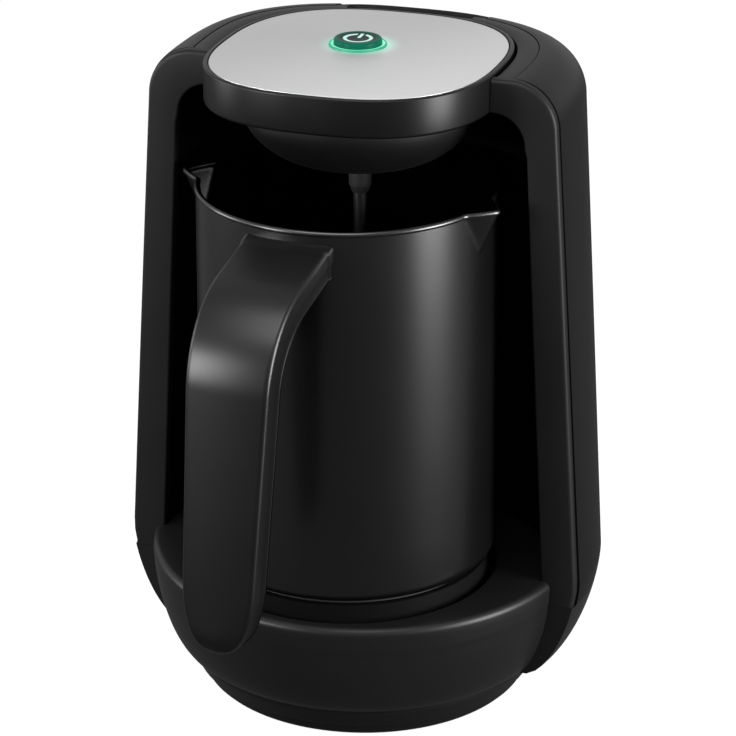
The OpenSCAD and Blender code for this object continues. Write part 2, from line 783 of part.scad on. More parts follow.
module pot_body() color("#17171a") at_pot() difference() {
    union() {
        rotate_extrude() polygon(concat([[0, pot_bottom_z]], pot_line(0, pot_bottom_z),
            [[0, pot_rim_z]]));
        rotate_extrude() translate([pot_top_r - rim_r / 2, pot_rim_z]) circle(r = rim_r, $fn = 24);
        both_spouts(0);
    }
    rotate_extrude() polygon(concat([[0, pot_bottom_z + pot_wall]],
        pot_line(pot_wall, pot_bottom_z + pot_wall), [[pot_in, pot_rim_z + far], [0, pot_rim_z + far]]));
    both_spouts(pot_wall);
}

module both_spouts(inset) for (turn = [-spout_lean, 180 + spout_lean]) rotate(turn) spout(inset);

// A spout that swells out of the rim as a steep cone
module spout(inset) {
    h = spout_h * spout_w / spout_reach;
    slope = spout_w / h;
    top = pot_rim_z + spout_over;
    translate([pot_top_r + spout_reach - spout_w, 0, top - h + inset / slope])
        cylinder(r1 = tiny, r2 = spout_w + (sign(inset) * over - inset / slope) * slope + tiny,
            h = h + sign(inset) * over - inset / slope);
}

module pot_base() color("#1a1a1c") at_pot() difference() {
    rotate_extrude() polygon([[0, pot_foot_z], [pot_base_r - 2, pot_foot_z],
        [pot_base_r, pot_foot_z + 2], [pot_base_r, pot_bottom_z - seal_t],
        [pot_bottom_r - pot_bottom_round, pot_bottom_z - seal_t], [0, pot_bottom_z - seal_t]]);
    translate([0, 0, pot_foot_z + pot_base_wall]) cylinder(r = pot_base_r - pot_base_skirt, h = far);
    translate([0, 0, -over]) cylinder(r = socket_r + socket_wall, h = far);
}

module heater_plate() color("#a9a9ab") at_pot()
    translate([0, 0, pot_bottom_z - heater_t]) cylinder(r = heater_r, h = heater_t);

module base_seal() color("#5b5b5b") at_pot()
    tube(pot_base_r - base_step, pot_base_r - pot_base_skirt, pot_bottom_z - seal_t, pot_bottom_z);

module pot_connector() color("#2c2c2e") at_pot() difference() {
    translate([0, 0, pot_foot_z]) cylinder(r = socket_r + socket_wall,
        h = pot_bottom_z - heater_t - pot_foot_z);
    translate([0, 0, pot_foot_z - over]) cylinder(r = socket_r, h = connector_h + 1 + over);
}

module thermostat() color("#d8d4c8") at_pot() translate([thermostat_x, 0,
    pot_bottom_z - heater_t - thermostat_h]) cylinder(r = thermostat_r, h = thermostat_h);

// ---------- Handle ----------

// Side outline of the strap between two depths below its outer face
function strap_line(depth) = concat(
    [[bend_d + (bend_r - depth) * sin(handle_slope) - strap_top_len * cos(handle_slope),
        bend_z + (bend_r - depth) * cos(handle_slope) + strap_top_len * sin(handle_slope)]],
    [for (i = [0 : 14]) let (a = mix(90 - handle_slope, grip_lean, i / 14))
        [bend_d + (bend_r - depth) * cos(a), bend_z + (bend_r - depth) * sin(a)]],
    [let (z1 = bend_z + (bend_r - depth) * sin(grip_lean), h = z1 - grip_end_z)
        [bend_d + (bend_r - depth) * cos(grip_lean) + h * tan(grip_lean), grip_end_z]]);
// Radius of the pot's wall at height z, and height of the strap's underside at distance d
function wall_r(z) = mix(pot_bottom_r, pot_top_r, (z - pot_bottom_z - pot_bottom_round)
    / (pot_rim_z - pot_bottom_z - pot_bottom_round));
function strap_low(d) = let (r = bend_r - handle_t) bend_z + r * cos(handle_slope)
    + (bend_d + r * sin(handle_slope) - d) * tan(handle_slope);

// Everything within a gap of the pot's wall
module pot_space(gap) translate([0, 0, pot_bottom_z]) cylinder(r1 = wall_r(pot_bottom_z) + gap,
    r2 = wall_r(pot_bottom_z + far) + gap, h = far);

function turned(line) = [for (i = [len(line) - 1 : -1 : 0]) line[i]];

// The strap between two depths, as wide as its front outline
module strap(d0, d1, inset) intersection() {
    rotate([90, 0, -90]) linear_extrude(handle_top_w, center = true)
        polygon(concat(strap_line(d0), turned(strap_line(d1))));
    rotate([90, 0, 0]) linear_extrude(far) strap_front(inset);
    difference() {
        translate([0, 0, -far / 2]) cylinder(r = far, h = far * 2);
        pot_space(fit_gap);
    }
}

// Front outline of the strap, with a round lower end
module strap_front(inset) {
    top = bend_z + bend_r + strap_top_len;
    low = grip_end_z + grip_round;
    half_low = handle_low_w / 2 - inset;
    half_top = handle_top_w / 2 - inset;
    polygon(concat([[-half_top, top], [half_top, top]],
        [for (i = [0 : 12]) let (a = 180 * i / 12)
            [half_low * cos(a), low - (grip_round - inset) * sin(a)]]));
}

module handle_shell() color("#202023") at_pot() difference() {
    strap(0, handle_t * handle_split, 0);
    bracket_pocket();
}

module handle_liner() color("#1a1a1c") at_pot() difference() {
    strap(handle_t * handle_split + handle_gap, handle_t, liner_inset);
    bracket_pocket();
    at_handle_screws() translate([0, 0, -far]) cylinder(r = screw_r, h = far + over);
}

module bracket_pocket() union() {
    bracket_plate(fit_gap);
    bracket_tongue(fit_gap);
}

module bracket_plate(gap) intersection() {
    translate([0, 0, bracket_z - gap]) cylinder(r = wall_r(bracket_z) + bracket_t + gap,
        h = bracket_h + 2 * gap);
    translate([-bracket_w / 2 - gap, -far, 0]) cube([bracket_w + 2 * gap, far, far]);
}

tongue_y = wall_r(bracket_z) + bracket_t + tongue_len;
module bracket_tongue(gap) translate([-bracket_w / 2 - gap, -tongue_y - gap, tongue_z - gap])
    cube([bracket_w + 2 * gap, tongue_y + gap, tongue_h + 2 * gap]);

module at_handle_screws() for (s = [-1, 1])
    translate([s * handle_screw_x, -tongue_y + tongue_len / 2, tongue_z]) children();

// A welded plate that follows the pot's wall, with a tongue that enters the handle
module handle_bracket() color("#8a8a8c") at_pot() difference() {
    union() {
        bracket_plate(0);
        bracket_tongue(0);
    }
    pot_space(0);
    at_handle_screws() translate([0, 0, -over]) cylinder(r = screw_r, h = over + handle_screw_in);
}

module handle_screws() color("silver") at_pot() at_handle_screws() translate([0, 0, -screw_head_h])
    cylinder(r = screw_r, h = screw_head_h + handle_screw_in);

module in_frame() translate([0, frame_y, 0]) children();

in_frame() outer_shell();
in_frame() front_frame();
in_frame() bay_liner();
in_frame() base_housing();
in_frame() base_plate();
in_frame() rubber_pads();
in_frame() base_screws();
in_frame() cord_gland();
in_frame() base_connector();
in_frame() connector_contacts();
in_frame() power_board();
in_frame() transformer();
in_frame() heater_relay();
in_frame() filter_capacitor();
in_frame() wiring_loom();
in_frame() hinge_pin();
in_frame() lid_shell();
in_frame() top_plate();
in_frame() lid_dome();
in_frame() light_ring();
in_frame() button_switch();
in_frame() control_board();
in_frame() buzzer();
in_frame() probe_sleeve();
in_frame() probe_rod();
in_frame() probe_seal();
in_frame() lid_screws();
in_frame() power_button();
in_frame() pot_body();
in_frame() pot_base();
in_frame() heater_plate();
in_frame() pot_connector();
in_frame() thermostat();
in_frame() base_seal();
in_frame() handle_shell();
in_frame() handle_liner();
in_frame() handle_bracket();
in_frame() handle_screws();
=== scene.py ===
"""An electric turkish coffee maker: finishes and fine shapes over its packed construction."""
import json
import math

import bmesh
import bpy
from mathutils import Matrix, Vector


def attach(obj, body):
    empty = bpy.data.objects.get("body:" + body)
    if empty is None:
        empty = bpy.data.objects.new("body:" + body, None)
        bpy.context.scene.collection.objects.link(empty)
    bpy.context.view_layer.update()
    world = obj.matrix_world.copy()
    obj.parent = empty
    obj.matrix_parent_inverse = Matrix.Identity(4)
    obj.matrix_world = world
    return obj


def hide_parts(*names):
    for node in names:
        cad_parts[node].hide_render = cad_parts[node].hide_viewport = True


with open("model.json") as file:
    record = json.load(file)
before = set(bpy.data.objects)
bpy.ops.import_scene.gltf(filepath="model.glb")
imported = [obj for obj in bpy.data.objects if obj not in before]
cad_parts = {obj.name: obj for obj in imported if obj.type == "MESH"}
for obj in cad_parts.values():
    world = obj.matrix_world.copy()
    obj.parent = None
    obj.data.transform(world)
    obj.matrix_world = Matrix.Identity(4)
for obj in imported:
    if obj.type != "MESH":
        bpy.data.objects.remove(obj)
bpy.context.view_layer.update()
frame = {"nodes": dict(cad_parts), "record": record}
nodes = frame["nodes"]

# ---------------------------------------------------------------- sizes, in mm
MM = 0.001
FRAME_Y = 23.8306         # how far the frame moves the body's axis along Y
COUNT, POT_COUNT = 216, 288                             # points round a large ring
SHARP = math.radians(35)  # edges that bend more than this stay crisp

# The body: half width and half depth, and how square its rings are.
BELLY, SHOULDER, SHOULDER_W = (75.0, 68.0), (64.5, 62.0), 14.0
BELLY_N, TOP_N = 2.15, 2.6
LOW_R, GROOVE_R, GROOVE_Z = 60.6, 57.8, 12.0
BELLY_Z, SHOULDER_Z, DECK_Z, TOP_Z = 44.0, 189.0, 204.0, 205.0
BODY_ROUND, BOWL_ROUND = 1.6, 1.65                      # powers of the curves under the belly
WALL = 2.4
SEAM_Z, SEAM_GAP = 37.0, 0.1

# The front face, the bay and the base.
FACE_Y, FACE_BACK, FACE_W, BAY_CORNER = -16.0, -13.0, 9.7, 10.0
BAY_TOP_Z, BAY_DEEP, BAY_N = 193.8, 49.5, 2.6
BOWL_R, BOWL_Z, BOWL_SOFT = 67.4, 45.0, 2.2
WELL_Z, WELL_R, CONNECTOR_R = 37.0, 46.4, 11.6

# The head, its hinge and the opening for it in the deck.
HEAD_Y = -4.5
PLATE, BAND, HEAD_HOLE, DECK = (42.2, 45.0), (43.8, 46.6), (44.6, 47.4), (50.5, 48.0)
PLATE_T, BAND_Z, WIRE_R = 1.2, 193.4, 4.95
COLLAR_Z = DECK_Z - 3
HINGE_Y, HINGE_Z, KNUCKLE_R, KNUCKLE_HALF = 47.5, 199.0, 3.6, 20.0
EAR_IN, EAR_OUT = KNUCKLE_HALF + 0.5, KNUCKLE_HALF + 4.5
NOTCH_HALF, NOTCH_BACK, NOTCH_Z = 24.8, HINGE_Y + 4.5, 190.0
BUTTON = (-3.0, 2.5)
BUTTON_R, BUTTON_TOP, CAP_Z, STEM_R, STEM_Z, RING_OUT = 7.3, 207.2, 203.4, 1.6, 200.4, 8.65
DOME_R, DOME_FLAT_R, DOME_TOP_Z, DOME_LOW_Z, DOME_WALL = 36.5, 13.0, 192.8, 172.8, 2
NECK_IN, NECK_OUT, SLEEVE_HOLE_R = 32.5, 34.9, 3.5

# The pot and its handle.
POT_Y, POT_TURN = -16.6, math.radians(-4)
POT_TOP_R, POT_LOW_R, POT_TOP_Z, POT_LOW_Z = 45.1, 46.0, 167.7, 50.5
POT_ROUND, POT_WALL, POT_FLOOR_R, RIM_R = 4.0, 1.0, 30, 0.9
SPOUT_LEAN, SPOUT_HALF, SPOUT_REACH, SPOUT_H = math.radians(8), math.radians(10.5), 6.0, 14.0
BEND_D, BEND_Z, BEND_R = 56.1, 129.2, 32.0              # the bend's centre, from the pot's axis
SLOPE, LEAN = math.radians(14), math.radians(8.3)       # of the handle's top and of its grip
HANDLE_T, HANDLE_SPLIT, HANDLE_LIP = 10.0, 5.5, 0.45
HANDLE_HALF, HANDLE_HALF_Z = (11.0, 14.0), (69.0, 187.0)  # half widths, and their heights
GRIP_LOW_Z, GRIP_ROUND, GRIP_POWER = 58.0, 21.0, 2.3


# ---------------------------------------------------------------- formulas
def mix(a, b, t):
    """The value between two others, at a share of the way."""
    return a + (b - a) * t


def ease(t):
    """0 to 1 with soft ends."""
    t = min(1.0, max(0.0, t))
    return t * t * (3 - 2 * t)


def bulge(t, power):
    """1 at the start and 0 at the end of a rounded corner."""
    return max(0.0, 1 - max(0.0, t) ** power) ** (1 / power)


def signed_power(value, power):
    return math.copysign(abs(value) ** power, value)


def turns(count):
    """Angles of evenly spaced points round a ring."""
    return [2 * math.pi * i / count for i in range(count)]


def squircle(a, b, n, z, centre=0.0):
    """A superellipse at one height, round a centre on the body's middle plane."""
    return [(a * signed_power(math.cos(t), 2 / n), centre + b * signed_power(math.sin(t), 2 / n), z)
            for t in turns(COUNT)]


def circle(r, z, x=0.0, y=0.0, count=COUNT):
    """A round ring at one height."""
    return [(x + r * math.cos(t), y + r * math.sin(t), z) for t in turns(count)]


def body_at(z, side):
    """Half width (side 0) or half depth (side 1) of the body at a height."""
    if z <= BELLY_Z:
        return mix(LOW_R, BELLY[side], bulge((BELLY_Z - z) / (BELLY_Z - GROOVE_Z), BODY_ROUND))
    if z <= SHOULDER_Z:
        return mix(BELLY[side], SHOULDER[side], (z - BELLY_Z) / (SHOULDER_Z - BELLY_Z))
    rise = (z - SHOULDER_Z) / (DECK_Z - SHOULDER_Z)
    return SHOULDER[side] - SHOULDER_W * (1 - math.sqrt(max(0.0, 1 - rise * rise)))


def body_n(z):
    """How square the body is at a height."""
    if z <= BELLY_Z:
        return mix(2, BELLY_N, (z - GROOVE_Z) / (BELLY_Z - GROOVE_Z))
    return mix(BELLY_N, TOP_N, min(1.0, (z - BELLY_Z) / (SHOULDER_Z - BELLY_Z)))


def body_ring(z, inset=0.0):
    """The body's outline at a height."""
    return squircle(body_at(z, 0) - inset, body_at(z, 1) - inset, body_n(z), z)


def section_x(z, y=FACE_Y):
    """Half width of the body where a plane across it cuts it."""
    n = body_n(z)
    return body_at(z, 0) * max(0.0, 1 - abs(y / body_at(z, 1)) ** n) ** (1 / n)


def bay_half(z):
    """Half width of the bay at a height."""
    low = section_x(SEAM_Z) - FACE_W
    return mix(low, section_x(SHOULDER_Z) - FACE_W, (z - SEAM_Z) / (BAY_TOP_Z - SEAM_Z))


def bay_ring(z, grow=0.0):
    """The bay's outline at a height."""
    return squircle(bay_half(z) + grow, BAY_DEEP + grow, BAY_N, z, FACE_Y)


def arc(x, z, r, start, end, steps=6):
    """Points of a round corner in a profile, between two angles in degrees."""
    angles = [math.radians(mix(start, end, i / steps)) for i in range(steps + 1)]
    return [(x + r * math.cos(a), z + r * math.sin(a)) for a in angles]


# ---------------------------------------------------------------- shapes
def to_frame(x, y, z):
    """A point given in mm in the body's frame, as a mesh holds it."""
    return Vector((x, y + FRAME_Y, z)) * MM


def put(verts, points):
    """Sets points given in mm in the body's frame."""
    for vert, point in zip(verts, points):
        vert.co = to_frame(*point)


def inner_edges(verts):
    """The edges between some points."""
    known = set(verts)
    return list({e for v in verts for e in v.link_edges if e.other_vert(v) in known})


def skin(bm, rings, caps=False, closed=False):
    """A skin that starts as a circle and is extruded from ring to ring."""
    verts = bmesh.ops.create_circle(bm, segments=len(rings[0]), radius=1)["verts"]
    put(verts, rings[0])
    edges = inner_edges(verts)
    every = list(verts)
    if caps:
        bmesh.ops.contextual_create(bm, geom=edges)
    for ring in rings[1:]:
        made = bmesh.ops.extrude_edge_only(bm, edges=edges)["geom"]
        new = {item for item in made if isinstance(item, bmesh.types.BMVert)}
        verts = [next(e.other_vert(v) for e in v.link_edges if e.other_vert(v) in new) for v in verts]
        put(verts, ring)
        every += verts
        edges = inner_edges(verts)
    if caps:
        bmesh.ops.contextual_create(bm, geom=edges)
    if closed:
        bmesh.ops.remove_doubles(bm, verts=every, dist=2e-7)
    return every


def slice_off(bm, point, normal, close=True):
    """Cuts away what lies on the normal's side of a plane, and closes the cut."""
    geom = bm.verts[:] + bm.edges[:] + bm.faces[:]
    cut = bmesh.ops.bisect_plane(bm, geom=geom, plane_co=to_frame(*point), plane_no=normal,
                                 clear_outer=True, dist=1e-7)["geom_cut"]
    if close:
        edges = [e for e in cut if isinstance(e, bmesh.types.BMEdge)]
        bmesh.ops.holes_fill(bm, edges=edges, sides=0)


def score(bm, point, normal, inside):
    """Adds a line of edges along a plane to the faces that a test picks."""
    faces = [f for f in bm.faces if inside(to_body(f.calc_center_median()))]
    geom = faces + list({e for f in faces for e in f.edges}) + list({v for f in faces for v in f.verts})
    bmesh.ops.bisect_plane(bm, geom=geom, plane_co=to_frame(*point), plane_no=normal, dist=1e-7)


def to_body(place):
    """A point of a mesh in mm in the body's frame."""
    return place.x / MM, place.y / MM - FRAME_Y, place.z / MM


def block(bm, low, high, soft):
    """A box between two corners, with bevelled edges."""
    low, high = to_frame(*low), to_frame(*high)
    matrix = Matrix.Translation((low + high) / 2) @ Matrix.Diagonal((*(high - low), 1))
    verts = bmesh.ops.create_cube(bm, size=1, matrix=matrix)["verts"]
    bmesh.ops.bevel(bm, geom=inner_edges(verts), offset=soft * MM, segments=3, profile=0.5,
                    material=-1, affect="EDGES")


def joined(bm, other):
    """Adds another shape to this one, and lets the other go."""
    mesh = bpy.data.meshes.new("joined")
    other.to_mesh(mesh)
    other.free()
    bm.from_mesh(mesh)
    bpy.data.meshes.remove(mesh)


def rod_across(bm, y, z, r, half, soft):
    """A round bar along X, with softened ends."""
    matrix = Matrix.Translation(to_frame(0, y, z)) @ Matrix.Rotation(math.pi / 2, 4, "Y")
    verts = bmesh.ops.create_cone(bm, cap_ends=True, segments=64, radius1=r * MM, radius2=r * MM,
                                  depth=2 * half * MM, matrix=matrix)["verts"]
    ends = [e for e in inner_edges(verts) if len(e.link_faces) == 2
            and abs(e.calc_face_angle(0)) > math.radians(60)]
    bmesh.ops.bevel(bm, geom=ends, offset=soft * MM, segments=2, profile=0.5, material=-1,
                    affect="EDGES")


def placed(name, data):
    """A new object in the scene."""
    made = bpy.data.objects.new(name, data)
    bpy.context.scene.collection.objects.link(made)
    return made


def finished(bm, name, body, slot, replaced, thick=0.0):
    """Turns a shape into a piece that rides on a body and stands for a construction node."""
    bmesh.ops.remove_doubles(bm, verts=bm.verts[:], dist=2e-7)
    bmesh.ops.recalc_face_normals(bm, faces=bm.faces[:])
    for face in bm.faces:
        face.smooth = True
    for edge in bm.edges:
        edge.smooth = len(edge.link_faces) == 2 and edge.calc_face_angle(0) < SHARP
    mesh = bpy.data.meshes.new(name)
    bm.to_mesh(mesh)
    bm.free()
    mesh.materials.append(materials[slot])
    made = placed(name, mesh)
    if thick:
        wall = made.modifiers.new("wall", "SOLIDIFY")
        wall.thickness = thick * MM
        wall.offset = -1
        wall.use_even_offset = True
    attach(made, body)
    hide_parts(replaced)


# ---------------------------------------------------------------- materials
class Socket:
    """A node's output with arithmetic, so that a material reads as formulas."""

    def __init__(self, graph, output):
        self.graph, self.output = graph, output

    def math(self, operation, other):
        return self.graph.node("Math", {"operation": operation}, {0: self, 1: other})

    def __add__(self, other):
        return self.math("ADD", other)

    def __sub__(self, other):
        return self.math("SUBTRACT", other)

    def __mul__(self, other):
        return self.math("MULTIPLY", other)

    def __truediv__(self, other):
        return self.math("DIVIDE", other)

    def __rsub__(self, other):
        return self.graph.node("Math", {"operation": "SUBTRACT"}, {0: other, 1: self})

    def __pow__(self, other):
        return self.math("POWER", other)

    __radd__, __rmul__ = __add__, __mul__

    def ramp(self, start, end):
        """0 at start and 1 at end, smoothly between."""
        return self.graph.node("MapRange", {"interpolation_type": "SMOOTHSTEP"},
                               {"Value": self, "From Min": start, "From Max": end})

    def most(self, other):
        return self.math("MAXIMUM", other)


class Graph:
    """A tree of nodes, and the one way in which they are made."""

    def __init__(self, tree):
        self.tree = tree

    def node(self, kind, settings=None, values=None, out=0):
        """Adds a node: its type, its settings, and its sockets' values or links."""
        made = self.tree.nodes.new("ShaderNode" + kind)
        for key, value in (settings or {}).items():
            setattr(made, key, value)
        for key, value in (values or {}).items():
            self.feed(made.inputs[key], value)
        return Socket(self, made.outputs[out])

    def feed(self, target, value):
        if isinstance(value, Socket):
            self.tree.links.new(value.output, target)
        elif isinstance(value, (tuple, list)) and len(value) < len(target.default_value):
            target.default_value = (*value, 1)
        else:
            target.default_value = value


class Finish(Graph):
    """One material: its nodes, and the shader that they feed."""

    def __init__(self, name):
        self.material = bpy.data.materials.new(name)
        self.material.use_nodes = True
        super().__init__(self.material.node_tree)
        self.shader = self.tree.nodes["Principled BSDF"]
        self.place = self.node("TexCoord", out="Object")

    def mixed(self, a, b, amount):
        """One colour, and the other by an amount."""
        return self.node("Mix", {"data_type": "RGBA"}, {0: amount, 6: a, 7: b}, out=2)

    def noise(self, scale, detail=2, place=None):
        values = {"Vector": place or self.place, "Scale": scale, "Detail": detail}
        return self.node("TexNoise", None, values)

    def stretched(self, x, y, z):
        return self.node("VectorMath", {"operation": "MULTIPLY"}, {0: self.place, 1: (x, y, z)})

    def axes(self):
        return [self.node("SeparateXYZ", None, {0: self.place}, out=axis) for axis in ("X", "Y", "Z")]

    def bumped(self, height, strength, distance):
        """A fine relief on the surface."""
        values = {"Height": height, "Strength": strength, "Distance": distance}
        self.set(Normal=self.node("Bump", None, values, out="Normal"))

    def set(self, **values):
        for key, value in values.items():
            self.feed(self.shader.inputs[key.replace("_", " ")], value)
        return self.material


def plastic(name, tone, rough, specular=0.12):
    """Moulded plastic: slow tone and gloss changes, and a fine grain."""
    g = Finish(name)
    slow = g.noise(28, 3)
    fine = g.noise(2600, 2)
    g.bumped(fine, 0.06, 0.00004)
    return g.set(Base_Color=g.mixed([c * 0.8 for c in tone], [c * 1.2 for c in tone], slow),
                 Roughness=(slow - 0.5) * 0.05 + (fine - 0.5) * 0.02 + rough, Specular_IOR_Level=specular)


def metal(name, tone, rough, scale=900, brushed=(1, 1, 1)):
    """Bare metal with a fine brushed or cast pattern."""
    g = Finish(name)
    lines = g.noise(scale, 3, g.stretched(*brushed))
    slow = g.noise(40, 2)
    g.bumped(lines, 0.05, 0.00003)
    return g.set(Base_Color=g.mixed([c * 0.9 for c in tone], tone, slow), Metallic=1.0,
                 Roughness=(lines - 0.5) * 0.12 + (slow - 0.5) * 0.06 + rough)


def matt(name, tone, rough, scale=400, contrast=0.25, bump=0.15):
    """Rubber, sleeves, boards and other matt parts with a visible texture."""
    g = Finish(name)
    grain = g.noise(scale, 4)
    dark, light = [c * (1 - contrast) for c in tone], [c * (1 + contrast) for c in tone]
    g.bumped(grain, bump, 0.0001)
    return g.set(Base_Color=g.mixed(dark, light, grain), Roughness=(grain - 0.5) * 0.15 + rough,
                 Specular_IOR_Level=0.35)


def distance_from(g, x, y):
    """Distance in mm from a vertical axis given in the body's frame."""
    px, py, _ = g.axes()
    dx = px * (1 / MM) - x
    dy = py * (1 / MM) - (y + FRAME_Y)
    return (dx * dx + dy * dy) ** 0.5, dx, dy


def plate_material():
    """Satin aluminium, with a painted green glow round the button's ring and painted light that brightens
    it towards the front right.
    """
    g = Finish("plate_metal")
    lines = g.noise(1500, 3)
    slow = g.noise(18, 2)
    px, py, _ = g.axes()
    away, dx, _ = distance_from(g, *BUTTON)
    # Painted glow: the ring's green light is painted on the plate as its own emission, stronger to the
    # right.
    painted_glow_near_ring = (1 - away.ramp(RING_OUT - 2.0, RING_OUT + 6.0)) ** 1.5 * (dx / 30 + 0.7)
    # Painted light: the plate's tone is lighter towards the front right, where the lamps' light falls on
    # it.
    across = (px - py * 0.8).ramp(-0.06, 0.075)
    g.bumped(lines, 0.03, 0.00002)
    tone = g.mixed((0.52, 0.52, 0.525), (0.80, 0.80, 0.805), across * 0.85 + slow * 0.15)
    return g.set(Base_Color=tone, Metallic=1.0, Roughness=(lines - 0.5) * 0.1 + (slow - 0.5) * 0.08 + 0.42,
                 Emission_Color=g.mixed((0, 0, 0), (0.1, 0.85, 0.55), painted_glow_near_ring), Emission_Strength=0.6)


def button_material():
    """The smoked cap with a lit on-off symbol: an open ring and a bar, and a painted green glow towards its
    edge.
    """
    g = Finish("button_cap")
    away, dx, dy = distance_from(g, *BUTTON)
    aside = (dx * dx) ** 0.5
    slow = g.noise(300, 2)
    ring = away.ramp(3.2, 3.6) * (1 - away.ramp(4.3, 4.7))
    gap = (1 - aside.ramp(1.1, 1.5)) * dy.ramp(0.2, 0.6)
    bar = (1 - aside.ramp(0.35, 0.7)) * dy.ramp(0.4, 0.9) * (1 - dy.ramp(4.4, 4.9))
    up = g.axes()[2].ramp((BUTTON_TOP - 1.2) * MM, (BUTTON_TOP - 0.6) * MM)
    mark = (ring * (1 - gap)).most(bar) * up
    # Painted glow: towards its edge the cap is greener and glows, as if lit by the ring round it.
    edge = away.ramp(BUTTON_R - 2.6, BUTTON_R + 0.3)
    cap = g.mixed((0.001, 0.004, 0.0035), (0.002, 0.03, 0.02), edge * 0.8 + slow * 0.2)
    painted_edge_glow = g.mixed((0.0, 0.008, 0.006), (0.0, 0.11, 0.062), edge * 0.9)
    return g.set(Base_Color=cap, Roughness=(slow - 0.5) * 0.06 + 0.3, Specular_IOR_Level=0.04,
                 Emission_Color=g.mixed(painted_edge_glow, (0.66, 0.95, 0.88), mark), Emission_Strength=0.9)


def ring_material():
    """The lit ring: pale green inside, and darker at its rim."""
    g = Finish("ring_glow")
    slow = g.noise(260, 2)
    away, _, _ = distance_from(g, *BUTTON)
    rim = away.ramp(8.0, 8.35)
    pale = g.mixed((0.13, 0.80, 0.46), (0.30, 0.96, 0.64), slow.ramp(0.35, 0.7))
    lit = g.mixed(pale, (0.0, 0.22, 0.11), rim)
    return g.set(Base_Color=g.mixed((0.01, 0.06, 0.04), (0.02, 0.1, 0.07), slow),
                 Roughness=(slow - 0.5) * 0.1 + 0.45, Emission_Color=lit, Emission_Strength=1.0)


def pot_material():
    """A black gloss coat over steel, with a faint orange-peel; inside, painted shade: a near-black metal
    that reflects almost nothing.
    """
    g = Finish("pot_gloss")
    slow = g.noise(22, 2)
    peel = g.noise(700, 2)
    # Painted shade: the pot's inside is made a near-black metal so that its hollow shows dark.
    within = g.node("Attribute", {"attribute_name": "within"}, out="Fac")
    coat = g.mixed((0.0008, 0.0008, 0.001), (0.0014, 0.0014, 0.0016), slow)
    g.bumped(peel, 0.02, 0.00004)
    return g.set(Base_Color=g.mixed(coat, (0.005, 0.005, 0.005), within), Metallic=within,
                 Roughness=(slow - 0.5) * 0.05 + 0.28, Specular_IOR_Level=0.5)


PLASTICS = {              # tone, roughness and, where it isn't the usual one, specular level
    "shell_gloss": ((0.0024, 0.0024, 0.0026), 0.4, 0.1),
    "frame_satin": ((0.006, 0.006, 0.0063), 0.45),
    "liner_matte": ((0.001, 0.001, 0.001), 0.6, 0.06),
    "base_gloss": ((0.004, 0.004, 0.0043), 0.42, 0.2),
    "foot_satin": ((0.004, 0.004, 0.004), 0.42, 0.1),
    "gland_plastic": ((0.01, 0.01, 0.01), 0.55),
    "connector_plastic": ((0.02, 0.02, 0.022), 0.5),
    "relay_blue": ((0.03, 0.1, 0.4), 0.4),
    "capacitor_sleeve": ((0.02, 0.05, 0.12), 0.35),
    "band_gloss": ((0.002, 0.002, 0.0022), 0.36, 0.16),
    "dome_satin": ((0.002, 0.002, 0.0022), 0.34, 0.8),
    "sleeve_metal": ((0.02, 0.02, 0.021), 0.3, 0.5),
    "pot_base_plastic": ((0.002, 0.002, 0.0022), 0.55, 0.05),
    "handle_gloss": ((0.002, 0.002, 0.0022), 0.33, 0.24),
    "handle_satin": ((0.0015, 0.0015, 0.0017), 0.42),
}
METALS = {                # tone, roughness, and the pattern's scale and stretch
    "screw_steel": ((0.6, 0.6, 0.61), 0.35),
    "contact_brass": ((0.85, 0.62, 0.28), 0.3),
    "pin_steel": ((0.6, 0.6, 0.61), 0.25),
    "rod_steel": ((0.25, 0.25, 0.26), 0.3, 900, (1, 1, 0.1)),
    "heater_aluminium": ((0.65, 0.65, 0.66), 0.5, 300),
    "bracket_steel": ((0.5, 0.5, 0.5), 0.4),
}
MATTS = {                 # tone, roughness, and the grain's scale, contrast and height
    "rubber": ((0.02, 0.02, 0.02), 0.85),
    "board_green": ((0.02, 0.16, 0.07), 0.45, 700, 0.3),
    "coil_copper": ((0.55, 0.4, 0.08), 0.6, 300, 0.3),
    "loom_sleeve": ((0.03, 0.03, 0.03), 0.8, 1200, 0.5, 0.4),
    "switch_plastic": ((0.02, 0.02, 0.02), 0.6),
    "seal_silicone": ((0.012, 0.012, 0.012), 0.7),
    "thermostat_ceramic": ((0.7, 0.68, 0.63), 0.6, 500, 0.1),
}

materials = {"plate_metal": plate_material(), "button_cap": button_material(),
             "ring_glow": ring_material(), "pot_gloss": pot_material()}
for make, table in ((plastic, PLASTICS), (metal, METALS), (matt, MATTS)):
    materials.update({name: make(name, *values) for name, values in table.items()})


def finish_construction():
    """Gives every construction node that stays in view its slot's finish."""
    for part in frame["record"]["subparts"]:
        node = nodes[part["node"]]
        node.data.materials.clear()
        node.data.materials.append(materials[part["material_slot"]])


